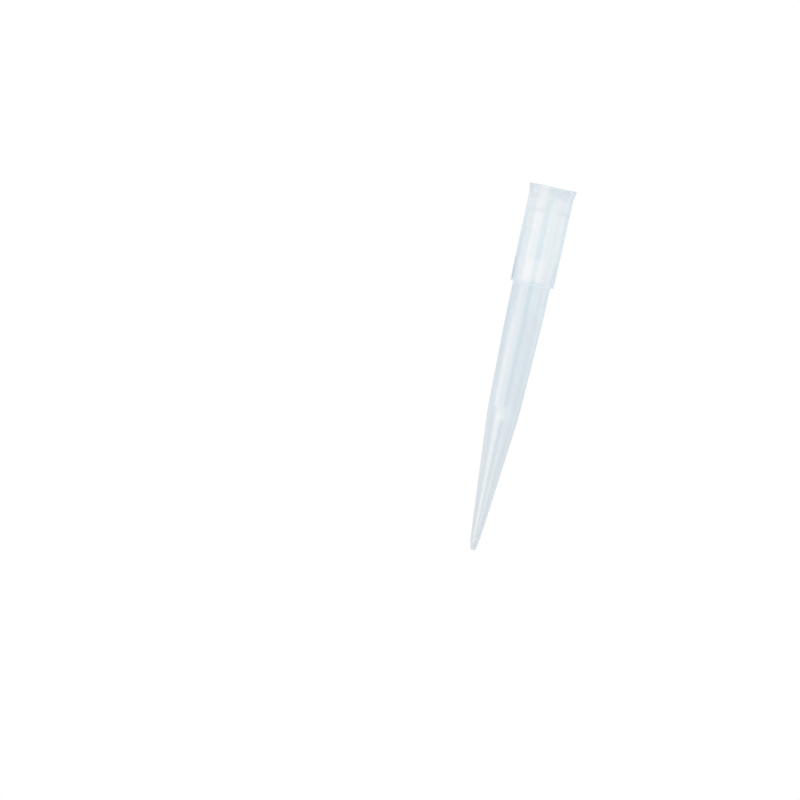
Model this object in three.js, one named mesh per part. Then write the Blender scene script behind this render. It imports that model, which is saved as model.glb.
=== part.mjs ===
// A 1000 microlitre pipette tip, moulded in one piece in natural polypropylene.
//
// Lengths are in millimetres and angles in degrees. The tip stands on its wide rim, point up:
// the centre of the rim's face is the origin, and +Z runs along the axis to the orifice.
// Depths and heights are both measured from the rim's face.

import * as THREE from 'three';

// ---------------------------------------------------------------- driving dimensions

const overallLength = 71.0;

// The socket that a pipette's nozzle is pushed into, from the rim inwards.
const socketRadius = 3.68;          // where the nozzle starts to grip, just below the step
const socketDepth = 14.2;           // rim to the throat that the nozzle's end stops above
const socketDraft = 0.75;           // half angle of the gripping bore
const leadInDepth = 2.6;            // the wide mouth that guides the nozzle in
const leadInWidening = 0.18;        // how much the mouth's radius grows from there to the rim
const stepDepth = 4.45;             // the small step where the mouth ends and the grip begins
const stepLength = 0.49;
const stepHeight = 0.10;
const sealDepth = 8.85;             // the fine sealing bead round the bore
const sealLength = 0.55;
const sealHeight = 0.07;
const throatLength = 4.4;           // the cone that leads from the socket to the liquid's bore
const throatNarrowing = 0.37;

// The collar round the socket, and the flared rim.
const collarWall = 0.61;
const collarDraft = 0.21;
const throatBand = 4.7;             // the thick-walled stretch from the socket to the shoulder
const rimOverhang = 0.28;
const rimBand = 0.4;                // the straight edge of the rim, before the flare runs in
const flareLength = 1.35;

// The body that holds the liquid.
const barrelWall = 0.43;
const barrelLength = 5.1;           // the nearly straight stretch below the shoulder
const barrelDraft = 0.05;
const upperTaper = 1.5;
const upperTaperLength = 20.4;
const coneWall = 0.36;              // at the cone's narrow end

// The nozzle at the point.
const nozzleLength = 2.1;
const coneEndRadius = 0.905;
const nozzleStep = 0.035;           // the fine line where the mould's point insert meets the cone
const nozzleStepLength = 0.08;
const nozzleEndRadius = 0.5;
const orificeRadius = 0.33;

// Rounding of the edges.
const rimEdgeRound = 0.1;
const flareRound = 1.6;
const shoulderEdgeRound = 0.12;
const barrelRootRound = 0.25;
const sealRound = 0.3;
const throatRound = 4.0;
const softBendRadius = 60.0;        // where one taper runs into the next
const nozzleEndRound = 0.08;
const orificeRound = 0.04;

const facetsAround = 60;
const arcStep = 30.0;               // the most that an arc turns from one point to the next

// ---------------------------------------------------------------- places worked out from them

const slope = (angle) => Math.tan(THREE.MathUtils.degToRad(angle));

const stepEnd = stepDepth + stepLength;
const sealEnd = sealDepth + sealLength;
const socketRadiusAt = (depth) => socketRadius - (depth - stepEnd) * slope(socketDraft);

const shoulderHeight = socketDepth + throatBand;
const flareEnd = rimBand + flareLength;
const collarRadius = socketRadius + collarWall;
const collarRadiusAt = (height) => collarRadius - (height - flareEnd) * slope(collarDraft);

const throatEnd = socketDepth + throatLength;
const boreRadius = socketRadiusAt(socketDepth) - throatNarrowing;
const barrelRadius = boreRadius + barrelWall;
const barrelEnd = shoulderHeight + barrelLength;
const barrelEndRadius = barrelRadius - barrelLength * slope(barrelDraft);
const coneStart = barrelEnd + upperTaperLength;
const coneStartRadius = barrelEndRadius - upperTaperLength * slope(upperTaper);
const nozzleStart = overallLength - nozzleLength;
const nozzleRoot = nozzleStart + nozzleStepLength;

// ---------------------------------------------------------------- outlines

// One corner of the section: its radius from the axis, its height, and how far it is rounded.
function corner(radius, height, round = 0) {
  return { at: new THREE.Vector2(radius, height), round };
}

// The section's outer side, from the rim up to the point.
function outsideCorners() {
  return [
    corner(collarRadius + rimOverhang, 0, rimEdgeRound),
    corner(collarRadius + rimOverhang, rimBand, flareRound),
    corner(collarRadius, flareEnd, flareRound),
    corner(collarRadiusAt(shoulderHeight), shoulderHeight, shoulderEdgeRound),
    corner(barrelRadius, shoulderHeight, barrelRootRound),
    corner(barrelEndRadius, barrelEnd, softBendRadius),
    corner(coneStartRadius, coneStart, softBendRadius),
    corner(coneEndRadius, nozzleStart),
    corner(coneEndRadius - nozzleStep, nozzleRoot),
    corner(nozzleEndRadius, overallLength, nozzleEndRound),
  ];
}

// The section's inner side, from the point back down to the rim.
function insideCorners() {
  return [
    corner(orificeRadius, overallLength, orificeRound),
    corner(coneEndRadius - coneWall, nozzleStart),
    corner(coneStartRadius - barrelWall, coneStart, softBendRadius),
    corner(barrelEndRadius - barrelWall, barrelEnd, softBendRadius),
    corner(boreRadius, throatEnd, throatRound),
    corner(socketRadiusAt(socketDepth), socketDepth),
    corner(socketRadiusAt(sealEnd), sealEnd),
    corner(socketRadiusAt(sealDepth + sealLength / 2) - sealHeight, sealDepth + sealLength / 2, sealRound),
    corner(socketRadiusAt(sealDepth), sealDepth),
    corner(socketRadius, stepEnd),
    corner(socketRadius + stepHeight, stepDepth),
    corner(socketRadius + stepHeight, leadInDepth),
    corner(socketRadius + stepHeight + leadInWidening, 0, rimEdgeRound),
  ];
}

// The points of the arc that rounds one corner. A fillet never takes more than its share of
// the two straight stretches beside it.
function roundedCorner(before, here, after) {
  if (here.round === 0) {
    return [here.at.clone()];
  }
  const shareOfStretch = 0.48;
  const back = before.at.clone().sub(here.at);
  const ahead = after.at.clone().sub(here.at);
  const room = shareOfStretch * Math.min(back.length(), ahead.length());
  back.normalize();
  ahead.normalize();
  const halfAngle = Math.acos(back.dot(ahead)) / 2;
  const reach = Math.min(here.round / Math.tan(halfAngle), room);
  const radius = reach * Math.tan(halfAngle);
  const middle = back.clone().add(ahead).normalize();
  const centre = here.at.clone().addScaledVector(middle, radius / Math.sin(halfAngle));
  const start = here.at.clone().addScaledVector(back, reach).sub(centre);
  const turn = Math.PI - 2 * halfAngle;
  const side = Math.sign(ahead.cross(back));
  const steps = Math.max(2, Math.ceil(turn / THREE.MathUtils.degToRad(arcStep)));
  const origin = new THREE.Vector2();
  return Array.from({ length: steps + 1 }, (_, index) =>
    start.clone().rotateAround(origin, side * turn * index / steps).add(centre));
}

// The whole section as one closed line, up the outside and down the inside.
function sectionLine() {
  const corners = [...outsideCorners(), ...insideCorners()];
  const line = corners.flatMap((here, index) => {
    const before = corners.at(index - 1);
    const after = corners[(index + 1) % corners.length];
    return roundedCorner(before, here, after);
  });
  return [...line, line[0].clone()];
}

// ---------------------------------------------------------------- the part

function makeTip() {
  const geometry = new THREE.LatheGeometry(sectionLine(), facetsAround);
  geometry.rotateX(Math.PI / 2);
  const material = new THREE.MeshStandardMaterial({
    color: 0xdfe8ed,
    roughness: 0.25,
    metalness: 0,
    transparent: true,
    opacity: 0.6,
  });
  const tip = new THREE.Mesh(geometry, material);
  tip.name = 'pipette_tip';
  return tip;
}

const part = new THREE.Group();
part.add(makeTip());

export default part;
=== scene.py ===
"""A 1000 microlitre pipette tip in natural polypropylene, standing on its rim with its point up.

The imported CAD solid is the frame. This script draws its section again as one fine revolved
surface, gives it the plastic's material, and adds a pale floor, soft studio surroundings and
the camera. Lengths are in metres and angles in degrees, unless a name says otherwise.
"""
import math

import bmesh
import bpy
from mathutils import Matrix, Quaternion, Vector


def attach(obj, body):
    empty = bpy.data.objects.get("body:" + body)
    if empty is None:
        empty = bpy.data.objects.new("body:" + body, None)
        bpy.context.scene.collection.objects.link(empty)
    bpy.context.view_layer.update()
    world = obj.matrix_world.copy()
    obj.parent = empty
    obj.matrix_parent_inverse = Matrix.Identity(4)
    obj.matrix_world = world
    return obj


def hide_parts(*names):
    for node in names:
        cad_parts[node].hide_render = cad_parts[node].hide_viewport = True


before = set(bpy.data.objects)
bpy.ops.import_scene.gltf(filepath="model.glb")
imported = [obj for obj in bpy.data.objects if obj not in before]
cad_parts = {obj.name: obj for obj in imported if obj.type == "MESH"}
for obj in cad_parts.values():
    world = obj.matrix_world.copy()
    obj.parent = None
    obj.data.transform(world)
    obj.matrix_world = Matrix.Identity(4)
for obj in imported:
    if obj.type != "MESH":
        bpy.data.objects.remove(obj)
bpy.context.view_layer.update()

TIP = "pipette_tip"
MM = 0.001

# The revolved surface.
TURNS_AROUND = 192               # facets round the axis
LONGEST_STEP = 0.75 * MM         # the longest facet along a wall
FINEST_TURN = 8.0                # the most that a bend turns from one facet to the next
SHORTEST_WALL = 0.18 * MM        # a shorter stretch of the CAD line is a piece of a rounded edge
LEAST_CREASE = 2.0               # two walls that meet at more than this meet at a crisp edge
NOZZLE_LENGTH = 2.1 * MM         # the point insert, which starts a hair off the axis
NOZZLE_OFFSET = 0.07 * MM
NOZZLE_BLEND = 0.1 * NOZZLE_LENGTH      # over this the wall swings across to it

# The camera, which stands level with the rim and sees the tip with its point down, leaning.
LENS_MM = 140.56
EYE = Vector((19.77 * MM, -595.0 * MM, 0.75 * MM))
AIM = Vector((19.77 * MM, 0.0, 45.91 * MM))
ROLL = 192.40
CLIP_START = 0.01

FLOOR_HALF = 3.0
FLOOR_PAINT = (0.8, 0.8, 0.8)
FLOOR_LIFT = 0.25                # light that the floor adds, so that it looks white away from the tip
WHITE = (1.0, 1.0, 1.0)
TO_DEGREES = 180.0 / math.pi

# Light Path counts, halfway between whole numbers.
MIRRORED = 0.5                   # mirrored once or more
MIRRORED_AGAIN = 1.5             # mirrored twice or more


# ---------------------------------------------------------------- the tip's surface

def cad_section(node):
    """The corners of the CAD solid's section, as (radius, height), once round its closed line."""
    near = 0.001 * MM
    solid = bmesh.new()
    solid.from_mesh(node.data)
    bmesh.ops.remove_doubles(solid, verts=solid.verts, dist=near)
    on_line = {v for v in solid.verts if abs(v.co.x) < near and v.co.y < 0}
    first = min(on_line, key=lambda v: (v.co.y, v.co.z))
    corners = [first]
    while len(corners) < len(on_line):
        here = corners[-1]
        beside = [edge.other_vert(here) for edge in here.link_edges]
        ahead = [v for v in beside if v in on_line and v not in corners]
        corners.append(max(ahead, key=lambda v: v.co.z) if here is first else ahead[0])
    line = [Vector((-v.co.y, v.co.z)) for v in corners]
    solid.free()
    return line


def arrive_and_leave(back, ahead):
    """The line's directions into and out of a corner: two at a crisp edge, one in a bend."""
    walls = min(back.length, ahead.length) > SHORTEST_WALL
    if walls and math.degrees(back.angle(ahead)) > LEAST_CREASE:
        return back.normalized(), ahead.normalized()
    blend = (back * back.length + ahead * ahead.length).normalized()
    return blend, blend


def smooth_section(corners):
    """A fine closed line through the corners, as (point, crisp): walls stay straight, edges stay
    crisp and bends come out round."""
    widest = max(corner.x for corner in corners)
    top = max(corner.y for corner in corners)
    following = corners[1:] + corners[:1]
    directions = [
        arrive_and_leave(here - corners[index - 1], following[index] - here)
        for index, here in enumerate(corners)
    ]
    line = []
    for index, start in enumerate(corners):
        end = following[index]
        reach = (end - start).length
        before, leave = directions[index]
        arrive, _ = directions[(index + 1) % len(corners)]
        turn = math.degrees(leave.angle(arrive))
        steps = max(2, math.ceil(reach / LONGEST_STEP), math.ceil(turn / FINEST_TURN))
        for step in range(steps):
            t = (1 - math.cos(math.pi * step / steps)) / 2
            point = (
                start * (2 * t**3 - 3 * t**2 + 1)
                + leave * reach * (t**3 - 2 * t**2 + t)
                + end * (3 * t**2 - 2 * t**3)
                + arrive * reach * (t**3 - t**2)
            )
            point = Vector((min(point.x, widest), min(max(point.y, 0.0), top)))
            line.append((point, step == 0 and before is not leave))
    return line


def nozzle_shift(height, top):
    """How far off the axis the wall lies at this height: most where the point insert starts, and
    nothing at the orifice."""
    start = top - NOZZLE_LENGTH
    share = min(max((height - start) / NOZZLE_BLEND, 0.0), 1.0)
    fade = 1.0 - max(height - start, 0.0) / NOZZLE_LENGTH
    return NOZZLE_OFFSET * share * fade


def revolve(line, name):
    """A closed surface of revolution about Z, smooth shaded between its crisp edges."""
    top = max(point.y for point, _ in line)
    surface = bmesh.new()
    edge_rings_and_shade = []
    for turn in range(TURNS_AROUND):
        angle = 2 * math.pi * turn / TURNS_AROUND
        edge_rings_and_shade.append([
            surface.verts.new((
                point.x * math.cos(angle) + nozzle_shift(point.y, top),
                point.x * math.sin(angle),
                point.y,
            ))
            for point, _ in line
        ])
    for turn, ring in enumerate(edge_rings_and_shade):
        beside = edge_rings_and_shade[(turn + 1) % TURNS_AROUND]
        for index in range(len(line)):
            after = (index + 1) % len(line)
            face = surface.faces.new((ring[index], beside[index], beside[after], ring[after]))
            face.smooth = True
        for index, (_, crisp) in enumerate(line):
            surface.edges.get((ring[index], beside[index])).smooth = not crisp
    bmesh.ops.recalc_face_normals(surface, faces=surface.faces)
    mesh = bpy.data.meshes.new(name)
    surface.to_mesh(mesh)
    surface.free()
    piece = bpy.data.objects.new(name, mesh)
    bpy.context.scene.collection.objects.link(piece)
    return piece


# ---------------------------------------------------------------- node helpers

class Nodes:
    """A node tree with short calls for the few kinds of node used here."""

    def __init__(self, tree):
        self.tree = tree
        tree.nodes.clear()

    def add(self, kind, **settings):
        node = self.tree.nodes.new(kind)
        for name, value in settings.items():
            setattr(node, name, value)
        return node

    def link(self, value, socket):
        """Feeds a socket from another socket or from a plain value."""
        if isinstance(value, bpy.types.NodeSocket):
            self.tree.links.new(value, socket)
        else:
            socket.default_value = value

    def maths(self, operation, first, second=0.0):
        node = self.add("ShaderNodeMath", operation=operation)
        self.link(first, node.inputs[0])
        self.link(second, node.inputs[1])
        return node.outputs[0]

    def vector_maths(self, operation, first, second):
        node = self.add("ShaderNodeVectorMath", operation=operation)
        self.link(first, node.inputs[0])
        self.link(second, node.inputs["Scale" if operation == "SCALE" else 1])
        return node.outputs[0]

    def noise(self, place, scale):
        node = self.add("ShaderNodeTexNoise")
        self.link(place, node.inputs["Vector"])
        node.inputs["Scale"].default_value = scale
        return node.outputs[0]

    def ramp(self, value, low, high, start=0.0, end=1.0):
        """A smooth step from start to end as the value goes from low to high."""
        node = self.add("ShaderNodeMapRange", interpolation_type="SMOOTHSTEP")
        self.link(value, node.inputs["Value"])
        node.inputs["From Min"].default_value = low
        node.inputs["From Max"].default_value = high
        node.inputs["To Min"].default_value = start
        node.inputs["To Max"].default_value = end
        return node.outputs["Result"]

    def within(self, value, span, softness):
        """One inside a span and zero outside it, with soft edges."""
        low, high = span
        away = self.maths("ABSOLUTE", self.maths("SUBTRACT", value, (low + high) / 2))
        half = (high - low) / 2
        return self.ramp(away, half - softness, half + softness, 1.0, 0.0)

    def azimuth(self, parts):
        """Degrees from the front (-Y), positive towards +X."""
        front = self.maths("MULTIPLY", parts.outputs["Y"], -1.0)
        radians = self.maths("ARCTAN2", parts.outputs["X"], front)
        return self.maths("MULTIPLY", radians, TO_DEGREES)

    def mix_colour(self, share, first, second):
        node = self.add("ShaderNodeMix", data_type="RGBA")
        self.link(share, node.inputs["Factor"])
        colours = [socket for socket in node.inputs if socket.type == "RGBA"]
        self.link(first, colours[0])
        self.link(second, colours[1])
        return next(socket for socket in node.outputs if socket.type == "RGBA")

    def mix_shader(self, share, first, second):
        node = self.add("ShaderNodeMixShader")
        self.link(share, node.inputs["Fac"])
        self.link(first.outputs[0], node.inputs[1])
        self.link(second.outputs[0], node.inputs[2])
        return node


def rgba(colour):
    return (*colour, 1.0)


# ---------------------------------------------------------------- the plastic

# The plastic's tint by height from the rim, partly painted light and shade: some stretches are set
# lighter or darker for how the light fell on them. Each holds up to the height beside it.
TINTS_AND_PAINTED_LIGHT = (
    (1.75 * MM, (0.890, 0.918, 0.937)),      # the flared rim
    (4.45 * MM, (0.898, 0.922, 0.939)),      # the mouth
    (9.20 * MM, (0.905, 0.933, 0.950)),      # round the socket, to the bead
    (14.2 * MM, (0.896, 0.930, 0.949)),      # and on to its end
    (18.9 * MM, (0.922, 0.945, 0.960)),      # the thick throat
    (44.0 * MM, (0.859, 0.899, 0.923)),      # the barrel
    (62.0 * MM, (0.870, 0.904, 0.924)),      # the cone
    (68.9 * MM, (0.868, 0.896, 0.914)),      # the cone's end
    (71.0 * MM, (0.855, 0.877, 0.895)),      # the nozzle
)
SOFT_TINT = 0.1 * MM
REFRACTIVE_INDEX = 1.49
HAZE_ROUGHNESS = 0.28
HAZE_SHARE = 0.27                # how much of what the camera sees the milky skin blurs
MOST_MEETINGS = 9.5              # light that has met more surfaces than this just leaves the walls

# Rings all the way round, at the moulding's own edges and beads, that let a little less light
# through: partly the plastic's own, partly painted shade where the edges look dark, and at the root
# of the barrel painted shade that dims a highlight. The heights in millimetres that each lies
# between, and the share of the red light that it holds back.
EDGE_RINGS_AND_SHADE = (
    ("edge of the rim", (0.00, 0.25), 0.020),
    ("ring of the rim", (0.15, 0.60), 0.030),
    ("ring where the flare ends", (1.45, 2.35), 0.015),
    ("edge of the lead-in", (2.50, 2.75), 0.020),
    ("mark of the grip step", (4.65, 5.00), 0.012),
    ("first edge of the bead", (8.66, 8.90), 0.030),
    ("second edge of the bead", (9.26, 9.50), 0.030),
    ("root of the barrel", (18.88, 19.20), 0.050),
)
SOFT_RING = 0.08 * MM
CAST = (1.0, 0.6, 0.4)           # the plastic holds back red first, then green, then blue

# Faint lines that the melt drew along the walls as it filled the mould.
FLOW_LINES = 9.0                 # how finely they divide the wall on its way round
FLOW_LENGTH = 15.0 * MM          # how far one runs before it fades
FLOW_TINT = 0.05                 # how far the palest and the darkest of them lie apart
FLOW_RELIEF = 0.0015 * MM
GRAIN = 900.0                    # patches of a little more or less polish, to the metre
GRAIN_SPAN = (0.3, 0.7)          # the noise runs from one end of the roughness to the other in this
SKIN_ROUGHNESS = (0.012, 0.034)
FROSTED_STEP = (4.38 * MM, 5.00 * MM)    # the grip step inside the socket is left matt
FROST_RADIUS = 4.0 * MM          # between the socket's wall and the collar's outside
FROST = 0.30                     # its roughness


def tint_and_painted_light_by_height(nodes, height):
    """The plastic's colour, lighter or darker from one stretch to the next: partly its own tint,
    partly painted light and shade.
    """
    colour = rgba(TINTS_AND_PAINTED_LIGHT[0][1])
    for (start, _), (_, tint) in zip(TINTS_AND_PAINTED_LIGHT, TINTS_AND_PAINTED_LIGHT[1:]):
        share = nodes.ramp(height, start - SOFT_TINT, start + SOFT_TINT)
        colour = nodes.mix_colour(share, colour, rgba(tint))
    return colour


def edge_rings_and_shade(nodes, height):
    """How much more light passes than through plain wall: zero there, and below it in a ring that is
    partly painted shade.
    """
    passing = 0.0
    for _, (low, high), strength in EDGE_RINGS_AND_SHADE:
        share = nodes.within(height, (low * MM, high * MM), SOFT_RING)
        passing = nodes.maths("ADD", passing, nodes.maths("MULTIPLY", share, -strength))
    return passing


def flow_lines(nodes, azimuth, height):
    """Faint lengthwise lines, from -0.5 to 0.5, that close up all round the wall."""
    radians = nodes.maths("RADIANS", azimuth)
    place = nodes.add("ShaderNodeCombineXYZ")
    nodes.link(nodes.maths("COSINE", radians), place.inputs["X"])
    nodes.link(nodes.maths("SINE", radians), place.inputs["Y"])
    nodes.link(nodes.maths("DIVIDE", height, FLOW_LENGTH * FLOW_LINES), place.inputs["Z"])
    lines = nodes.noise(place.outputs[0], FLOW_LINES)
    return nodes.maths("SUBTRACT", lines, 0.5)


def shaded(nodes, colour, passing):
    """The colour of a wall that lets through this much more light than plain wall."""
    change = nodes.vector_maths("SCALE", CAST, passing)
    factor = nodes.vector_maths("ADD", change, WHITE)
    return nodes.vector_maths("MULTIPLY", colour, factor)


def frosted_step(nodes, parts):
    """The roughness of the matt ring in the socket, and zero elsewhere."""
    across = nodes.add("ShaderNodeCombineXYZ")
    nodes.link(parts.outputs["X"], across.inputs["X"])
    nodes.link(parts.outputs["Y"], across.inputs["Y"])
    length = nodes.add("ShaderNodeVectorMath", operation="LENGTH")
    nodes.link(across.outputs[0], length.inputs[0])
    inside = nodes.maths("LESS_THAN", length.outputs["Value"], FROST_RADIUS)
    ring = nodes.within(parts.outputs["Z"], FROSTED_STEP, SOFT_RING)
    return nodes.maths("MULTIPLY", nodes.maths("MULTIPLY", inside, ring), FROST)


def moulded_skin(nodes):
    """The walls' colour, with painted light and shade in it, their roughness and their surface's fine
    relief.
    """
    place = nodes.add("ShaderNodeTexCoord").outputs["Object"]
    parts = nodes.add("ShaderNodeSeparateXYZ")
    nodes.link(place, parts.inputs[0])
    height = parts.outputs["Z"]
    azimuth = nodes.azimuth(parts)
    lines = flow_lines(nodes, azimuth, height)
    # The rings are partly painted shade at the moulding's edges.
    passing = nodes.maths("ADD", edge_rings_and_shade(nodes, height),
                          nodes.maths("MULTIPLY", lines, FLOW_TINT))
    # The tints by height are partly painted light and shade.
    colour = shaded(nodes, tint_and_painted_light_by_height(nodes, height), passing)
    polish = nodes.ramp(nodes.noise(place, GRAIN), *GRAIN_SPAN, *SKIN_ROUGHNESS)
    roughness = nodes.maths("MAXIMUM", frosted_step(nodes, parts), polish)
    relief = nodes.add("ShaderNodeBump")
    relief.inputs["Distance"].default_value = FLOW_RELIEF
    nodes.link(lines, relief.inputs["Height"])
    return colour, roughness, relief.outputs["Normal"]


def clear_plastic(nodes, colour, roughness, normal):
    """The shader of a clear wall, as smooth or as matt as its roughness says."""
    plastic = nodes.add("ShaderNodeBsdfPrincipled")
    nodes.link(colour, plastic.inputs["Base Color"])
    nodes.link(roughness, plastic.inputs["Roughness"])
    nodes.link(normal, plastic.inputs["Normal"])
    plastic.inputs["Transmission Weight"].default_value = 1.0
    plastic.inputs["IOR"].default_value = REFRACTIVE_INDEX
    return plastic


def polypropylene():
    """Natural polypropylene: clear, faintly milky and cool, with a moulded skin."""
    material = bpy.data.materials.new("natural_polypropylene")
    material.use_nodes = True
    nodes = Nodes(material.node_tree)
    light_path = nodes.add("ShaderNodeLightPath")
    colour, roughness, normal = moulded_skin(nodes)
    clear = clear_plastic(nodes, colour, roughness, normal)
    haze = clear_plastic(nodes, colour, HAZE_ROUGHNESS, normal)
    seen = nodes.maths("MULTIPLY", light_path.outputs["Is Camera Ray"], HAZE_SHARE)
    hazy = nodes.mix_shader(seen, clear, haze)
    mirrored = nodes.maths("GREATER_THAN", light_path.outputs["Glossy Depth"], MIRRORED_AGAIN)
    travelled = nodes.maths("GREATER_THAN", light_path.outputs["Ray Depth"], MOST_MEETINGS)
    trapped = nodes.maths("MAXIMUM", mirrored, travelled)
    surface = nodes.mix_shader(trapped, hazy, nodes.add("ShaderNodeBsdfTransparent"))
    output = nodes.add("ShaderNodeOutputMaterial")
    nodes.link(surface.outputs[0], output.inputs["Surface"])
    return material


# ---------------------------------------------------------------- studio

# The lamps, screens and gaps that the plastic's gloss shows. Azimuth runs from the front (-Y),
# positive towards +X, and elevation up from level. Each patch covers those before it: its two
# azimuths, its foot and head, and its colour.
SURROUNDINGS = (0.72, 0.81, 0.86)
PATCHES = (
    ("pale wall, right", (-140.0, -60.0), (-90.0, 10.0), (0.92, 0.95, 0.99)),
    ("low lamp, front right", (-60.0, -15.0), (-4.5, -2.2), (1.60, 1.45, 1.10)),
    ("teal screen, behind the camera", (-18.0, 18.0), (-8.0, 4.0), (0.16, 0.62, 0.80)),
    ("softbox's pale edge", (18.0, 30.0), (-4.5, 7.5), (1.45, 1.38, 1.32)),
    ("softbox, front left", (30.0, 70.0), (-8.0, 12.5), (1.90, 1.63, 1.50)),
    ("pale wall, left", (70.0, 134.0), (0.5, 1.3), (1.12, 1.08, 1.08)),
    ("back wall, left", (120.0, 170.0), (-0.5, 1.5), (0.92, 0.96, 0.98)),
    ("back wall, right", (-178.0, -110.0), (-0.5, 2.6), (0.81, 0.87, 0.91)),
    ("softbox's bright edge", (59.0, 69.0), (0.5, 7.4), (2.80, 2.20, 1.95)),
    ("gap beside the softbox", (70.0, 85.0), (0.8, 2.0), (0.00, 0.10, 0.20)),
    ("gap over the left wall", (86.0, 114.0), (1.8, 2.4), (0.15, 0.40, 0.55)),
    ("tall lamp, left", (66.0, 84.0), (4.8, 7.4), (3.10, 2.40, 2.10)),
    ("lamp beside the screen", (-26.5, -18.0), (0.3, 4.0), (1.60, 1.32, 1.20)),
    ("gap, front right", (-49.0, -27.0), (0.3, 4.0), (0.20, 0.45, 0.60)),
    ("lamp, right", (-110.0, -95.0), (0.5, 4.0), (1.45, 1.27, 1.20)),
    ("dark corner, back left", (160.0, 200.0), (7.5, 100.0), (0.35, 0.45, 0.52)),
    ("pale wall, back left", (118.0, 175.0), (4.5, 9.0), (0.86, 0.87, 0.90)),
    ("pale wall, back right", (-175.0, -118.0), (4.5, 9.0), (0.80, 0.80, 0.81)),
    ("flag, right", (-95.0, -75.0), (4.0, 12.5), (0.02, 0.17, 0.33)),
    ("flag, left", (60.0, 100.0), (7.5, 14.5), (0.15, 0.19, 0.26)),
    ("dark rail over the camera", (-70.0, 5.0), (4.0, 7.5), (0.02, 0.13, 0.27)),
    ("flag, front right", (-60.0, -40.0), (4.0, 12.5), (0.02, 0.26, 0.44)),
    ("slab light over the camera", (-10.0, 55.0), (7.5, 14.5), (2.40, 2.00, 1.75)),
    ("dark rail, high right", (-105.0, 15.0), (12.5, 30.0), (0.09, 0.18, 0.30)),
    ("high light, left", (15.0, 150.0), (14.5, 30.0), (1.75, 1.40, 1.30)),
    ("bright end of the high light", (44.0, 69.0), (14.9, 16.0), (2.90, 2.10, 1.80)),
    ("high light, back left", (94.0, 152.0), (15.4, 17.0), (2.50, 1.90, 1.65)),
    ("high light, far left", (64.0, 98.0), (15.9, 17.0), (2.50, 1.90, 1.65)),
    ("gap in the high light", (84.0, 95.0), (14.2, 15.4), (0.95, 0.90, 0.95)),
    ("strip lamp, high front", (-33.0, -17.0), (14.2, 16.1), (1.10, 0.80, 0.70)),
)
SOFT_AZIMUTH = 1.5               # half the width of a patch's soft edge
SOFT_ELEVATION = 0.6
DEEP_LEVEL = (0.81, 0.90, 0.93)  # what light that was mirrored more than once finds


def studio():
    """White as seen by the camera or through the plastic, and softboxes and flags in its gloss."""
    world = bpy.data.worlds.new("studio")
    bpy.context.scene.world = world
    world.use_nodes = True
    world.cycles.sampling_method = "NONE"
    nodes = Nodes(world.node_tree)
    direction = nodes.add("ShaderNodeTexCoord").outputs["Generated"]
    parts = nodes.add("ShaderNodeSeparateXYZ")
    nodes.link(direction, parts.inputs[0])
    azimuth = nodes.azimuth(parts)
    radians = nodes.maths("ARCSINE", parts.outputs["Z"])
    elevation = nodes.maths("MULTIPLY", radians, TO_DEGREES)
    colour = rgba(SURROUNDINGS)
    for _, across, upward, paint in PATCHES:
        share = nodes.maths("MULTIPLY", nodes.within(azimuth, across, SOFT_AZIMUTH),
                            nodes.within(elevation, upward, SOFT_ELEVATION))
        colour = nodes.mix_colour(share, colour, rgba(paint))
    light_path = nodes.add("ShaderNodeLightPath")
    mirrored = light_path.outputs["Glossy Depth"]
    colour = nodes.mix_colour(nodes.maths("GREATER_THAN", mirrored, MIRRORED_AGAIN),
                              colour, rgba(DEEP_LEVEL))
    shown = nodes.mix_colour(nodes.maths("GREATER_THAN", mirrored, MIRRORED), rgba(WHITE), colour)
    background = nodes.add("ShaderNodeBackground")
    nodes.link(shown, background.inputs["Color"])
    output = nodes.add("ShaderNodeOutputWorld")
    nodes.link(background.outputs[0], output.inputs["Surface"])


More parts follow.
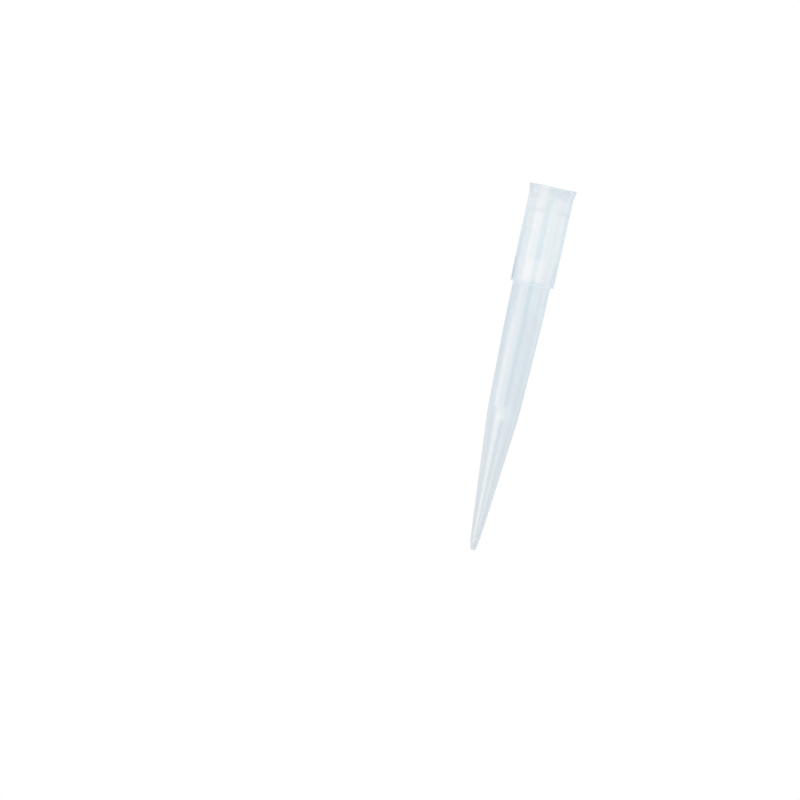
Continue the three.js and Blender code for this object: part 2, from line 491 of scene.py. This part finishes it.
def floor_paint():
    """White paint. Light mirrored by the tip passes through it, so the gloss shows the studio."""
    material = bpy.data.materials.new("floor")
    material.use_nodes = True
    nodes = Nodes(material.node_tree)
    output = nodes.add("ShaderNodeOutputMaterial")
    paint = nodes.add("ShaderNodeBsdfDiffuse")
    paint.inputs["Color"].default_value = rgba(FLOOR_PAINT)
    lift = nodes.add("ShaderNodeEmission")
    lift.inputs["Color"].default_value = rgba(WHITE)
    light_path = nodes.add("ShaderNodeLightPath")
    straight = nodes.maths("MAXIMUM", light_path.outputs["Is Camera Ray"],
                           light_path.outputs["Is Transmission Ray"])
    nodes.link(nodes.maths("MULTIPLY", straight, FLOOR_LIFT), lift.inputs["Strength"])
    lit = nodes.add("ShaderNodeAddShader")
    nodes.link(paint.outputs[0], lit.inputs[0])
    nodes.link(lift.outputs[0], lit.inputs[1])
    through = nodes.add("ShaderNodeBsdfTransparent")
    mirrored = nodes.maths("GREATER_THAN", light_path.outputs["Glossy Depth"], MIRRORED)
    surface = nodes.mix_shader(mirrored, lit, through)
    nodes.link(surface.outputs[0], output.inputs["Surface"])
    return material


def floor():
    """A plain pale floor that keeps the tip's shadow."""
    mesh = bpy.data.meshes.new("floor")
    corners = [(-FLOOR_HALF, -FLOOR_HALF, 0), (FLOOR_HALF, -FLOOR_HALF, 0),
               (FLOOR_HALF, FLOOR_HALF, 0), (-FLOOR_HALF, FLOOR_HALF, 0)]
    mesh.from_pydata(corners, [], [(0, 1, 2, 3)])
    plane = bpy.data.objects.new("floor", mesh)
    bpy.context.scene.collection.objects.link(plane)
    mesh.materials.append(floor_paint())


def camera():
    """The photograph's view: level with the rim, rolled so that the point hangs down and leans."""
    data = bpy.data.cameras.new("camera")
    data.lens = LENS_MM
    data.clip_start = CLIP_START
    eye = bpy.data.objects.new("camera", data)
    eye.location = EYE
    level = (AIM - EYE).to_track_quat("-Z", "Y")
    roll = Quaternion((0.0, 0.0, 1.0), math.radians(ROLL))
    eye.rotation_mode = "QUATERNION"
    eye.rotation_quaternion = level @ roll
    bpy.context.scene.collection.objects.link(eye)
    bpy.context.scene.camera = eye


# ---------------------------------------------------------------- the scene

def build():
    """The tip in place of its CAD solid, on the floor, in the studio, seen by the camera."""
    line = smooth_section(cad_section(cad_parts[TIP]))
    tip = revolve(line, "tip_moulding")
    tip.data.materials.append(polypropylene())
    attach(tip, "root")
    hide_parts(TIP)
    floor()
    studio()
    camera()
    bpy.context.scene.view_settings.view_transform = "Standard"


build()
